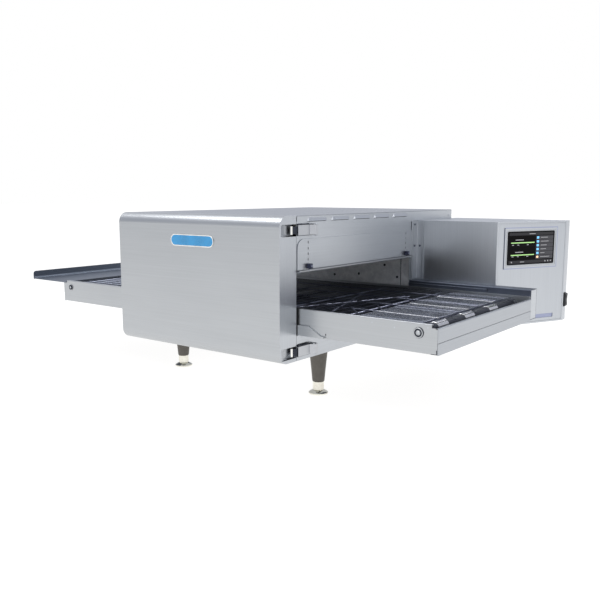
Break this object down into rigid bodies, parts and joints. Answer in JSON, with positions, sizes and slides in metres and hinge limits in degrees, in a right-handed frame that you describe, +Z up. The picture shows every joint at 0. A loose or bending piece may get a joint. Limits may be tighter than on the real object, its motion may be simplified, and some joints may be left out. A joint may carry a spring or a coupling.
{
  "type": "conveyor pizza oven",
  "caption": "Countertop impingement oven with a wire belt running through it, lift-off front cover, height-adjusting baffles and a touch-screen control box.",
  "frame": {"origin": "on the worktop, under the middle of the whole oven's footprint, exit tray and control box included", "axes": "+X along the conveyor towards its drive end, +Y from the front cover to the rear, +Z up"},
  "size_m": [1.416, 0.868, 0.4378],
  "materials": {
    "brushed_steel": "satin, brushed along the sheet",
    "chamber_steel": "dull, heat darkened",
    "bright_steel": "bright drawn wire and turned steel",
    "leg_metal": "satin, fine grained",
    "black_plastic": "satin moulded",
    "screen_glass": "glossy",
    "badge_enamel": "glossy enamel",
    "insulation_wool": "matted fibre",
    "motor_paint": "satin",
    "circuit_board": "solder mask"
  },
  "bodies": {
    "oven": {"base_pan": "brushed_steel", "top_panel": "brushed_steel", "right_side_panel": "brushed_steel", "left_side_panel": "brushed_steel", "rear_panel": "brushed_steel", "chamber_liner": "chamber_steel", "top_insulation": "insulation_wool", "upper_jet_plate": "chamber_steel", "lower_jet_plate": "chamber_steel", "heating_element": "chamber_steel", "left_blower_motor": "motor_paint", "right_blower_motor": "motor_paint", "front_rail": "brushed_steel", "rear_rail": "brushed_steel", "right_end_plate": "brushed_steel", "left_end_plate": "brushed_steel", "belt_support_rack": "chamber_steel", "wire_belt": "bright_steel", "right_front_bearing": "chamber_steel", "left_front_bearing": "chamber_steel", "right_support_bracket": "brushed_steel", "left_support_bracket": "brushed_steel", "chain_cover": "brushed_steel", "drive_chain": "chamber_steel", "drive_motor": "motor_paint", "control_box": "brushed_steel", "control_face_panel": "brushed_steel", "touch_screen": "screen_glass", "controller_board": "circuit_board", "power_inlet": "black_plastic", "front_left_leg": "leg_metal", "front_right_leg": "leg_metal", "rear_left_leg": "leg_metal", "rear_right_leg": "leg_metal"},
    "cover": {"front_cover": "brushed_steel", "front_cover_liner": "chamber_steel", "front_badge": "badge_enamel"},
    "right_upper_latch": {"right_upper_latch": "brushed_steel"},
    "right_lower_latch": {"right_lower_latch": "brushed_steel"},
    "left_upper_latch": {"left_upper_latch": "brushed_steel"},
    "left_lower_latch": {"left_lower_latch": "brushed_steel"},
    "right_baffle": {"right_baffle_plate": "brushed_steel"},
    "right_front_knob": {"right_front_knob": "black_plastic"},
    "right_rear_knob": {"right_rear_knob": "black_plastic"},
    "left_baffle": {"left_baffle_plate": "brushed_steel"},
    "left_front_knob": {"left_front_knob": "black_plastic"},
    "left_rear_knob": {"left_rear_knob": "black_plastic"},
    "drive_shaft": {"drive_shaft": "bright_steel"},
    "idler_shaft": {"idler_shaft": "bright_steel"},
    "motor_sprocket": {"motor_sprocket": "chamber_steel"},
    "left_blower": {"left_blower_wheel": "chamber_steel"},
    "right_blower": {"right_blower_wheel": "chamber_steel"},
    "right_crumb_pan": {"right_crumb_pan": "brushed_steel"},
    "left_crumb_pan": {"left_crumb_pan": "brushed_steel"},
    "left_exit_tray": {"left_exit_tray": "brushed_steel"},
    "power_switch": {"power_switch": "black_plastic"},
    "front_left_foot": {"front_left_foot": "bright_steel"},
    "front_right_foot": {"front_right_foot": "bright_steel"},
    "rear_left_foot": {"rear_left_foot": "bright_steel"},
    "rear_right_foot": {"rear_right_foot": "bright_steel"}
  },
  "joints": [
    {"name": "cover_lift_off", "type": "slide", "parent": "oven", "child": "cover", "axis": [0, -1, 0], "range_m": [0, 0.25]},
    {"name": "right_upper_latch_swing", "type": "hinge", "parent": "oven", "child": "right_upper_latch", "pos_m": [0.364, -0.314, 0.4055], "axis": [0, 0, 1], "range_deg": [0, 75]},
    {"name": "right_lower_latch_swing", "type": "hinge", "parent": "oven", "child": "right_lower_latch", "pos_m": [0.364, -0.314, 0.1295], "axis": [0, 0, 1], "range_deg": [0, 75]},
    {"name": "left_upper_latch_swing", "type": "hinge", "parent": "oven", "child": "left_upper_latch", "pos_m": [-0.196, -0.314, 0.4055], "axis": [0, 0, -1], "range_deg": [0, 75]},
    {"name": "left_lower_latch_swing", "type": "hinge", "parent": "oven", "child": "left_lower_latch", "pos_m": [-0.196, -0.314, 0.1295], "axis": [0, 0, -1], "range_deg": [0, 75]},
    {"name": "right_baffle_height", "type": "slide", "parent": "oven", "child": "right_baffle", "axis": [0, 0, -1], "range_m": [0, 0.052]},
    {"name": "right_front_knob_turn", "type": "hinge", "parent": "right_baffle", "child": "right_front_knob", "pos_m": [0.3548, -0.331, 0.323], "axis": [1, 0, 0], "range_deg": [0, 360]},
    {"name": "right_rear_knob_turn", "type": "hinge", "parent": "right_baffle", "child": "right_rear_knob", "pos_m": [0.3548, 0.117, 0.323], "axis": [1, 0, 0], "range_deg": [0, 360]},
    {"name": "left_baffle_height", "type": "slide", "parent": "oven", "child": "left_baffle", "axis": [0, 0, -1], "range_m": [0, 0.052]},
    {"name": "left_front_knob_turn", "type": "hinge", "parent": "left_baffle", "child": "left_front_knob", "pos_m": [-0.1868, -0.331, 0.323], "axis": [-1, 0, 0], "range_deg": [0, 360]},
    {"name": "left_rear_knob_turn", "type": "hinge", "parent": "left_baffle", "child": "left_rear_knob", "pos_m": [-0.1868, 0.117, 0.323], "axis": [-1, 0, 0], "range_deg": [0, 360]},
    {"name": "drive_shaft_spin", "type": "hinge", "parent": "oven", "child": "drive_shaft", "pos_m": [0.659, -0.366, 0.2096], "axis": [0, 1, 0], "continuous": true},
    {"name": "idler_shaft_spin", "type": "hinge", "parent": "oven", "child": "idler_shaft", "pos_m": [-0.501, -0.366, 0.2096], "axis": [0, 1, 0], "continuous": true},
    {"name": "motor_sprocket_spin", "type": "hinge", "parent": "oven", "child": "motor_sprocket", "pos_m": [0.534, 0.158, 0.2096], "axis": [0, 1, 0], "continuous": true},
    {"name": "left_blower_spin", "type": "hinge", "parent": "oven", "child": "left_blower", "pos_m": [-0.041, 0.208, 0.24], "axis": [0, 1, 0], "continuous": true},
    {"name": "right_blower_spin", "type": "hinge", "parent": "oven", "child": "right_blower", "pos_m": [0.209, 0.208, 0.24], "axis": [0, 1, 0], "continuous": true},
    {"name": "right_crumb_pan_slide", "type": "slide", "parent": "oven", "child": "right_crumb_pan", "axis": [1, 0, 0], "range_m": [0, 0.32]},
    {"name": "left_crumb_pan_slide", "type": "slide", "parent": "oven", "child": "left_crumb_pan", "axis": [-1, 0, 0], "range_m": [0, 0.32]},
    {"name": "exit_tray_lift_off", "type": "slide", "parent": "oven", "child": "left_exit_tray", "axis": [0, 0, 1], "range_m": [0, 0.06]},
    {"name": "power_switch_rock", "type": "hinge", "parent": "oven", "child": "power_switch", "pos_m": [0.693, 0.422, 0.189], "axis": [0, -1, 0], "range_deg": [0, 12]},
    {"name": "front_left_foot_level", "type": "slide", "parent": "oven", "child": "front_left_foot", "axis": [0, 0, -1], "range_m": [0, 0.02]},
    {"name": "front_right_foot_level", "type": "slide", "parent": "oven", "child": "front_right_foot", "axis": [0, 0, -1], "range_m": [0, 0.02]},
    {"name": "rear_left_foot_level", "type": "slide", "parent": "oven", "child": "rear_left_foot", "axis": [0, 0, -1], "range_m": [0, 0.02]},
    {"name": "rear_right_foot_level", "type": "slide", "parent": "oven", "child": "rear_right_foot", "axis": [0, 0, -1], "range_m": [0, 0.02]}
  ],
  "couplings": [
    {"joint": "idler_shaft_spin", "follows": "drive_shaft_spin", "ratio": 1},
    {"joint": "motor_sprocket_spin", "follows": "drive_shaft_spin", "ratio": 1}
  ]
}
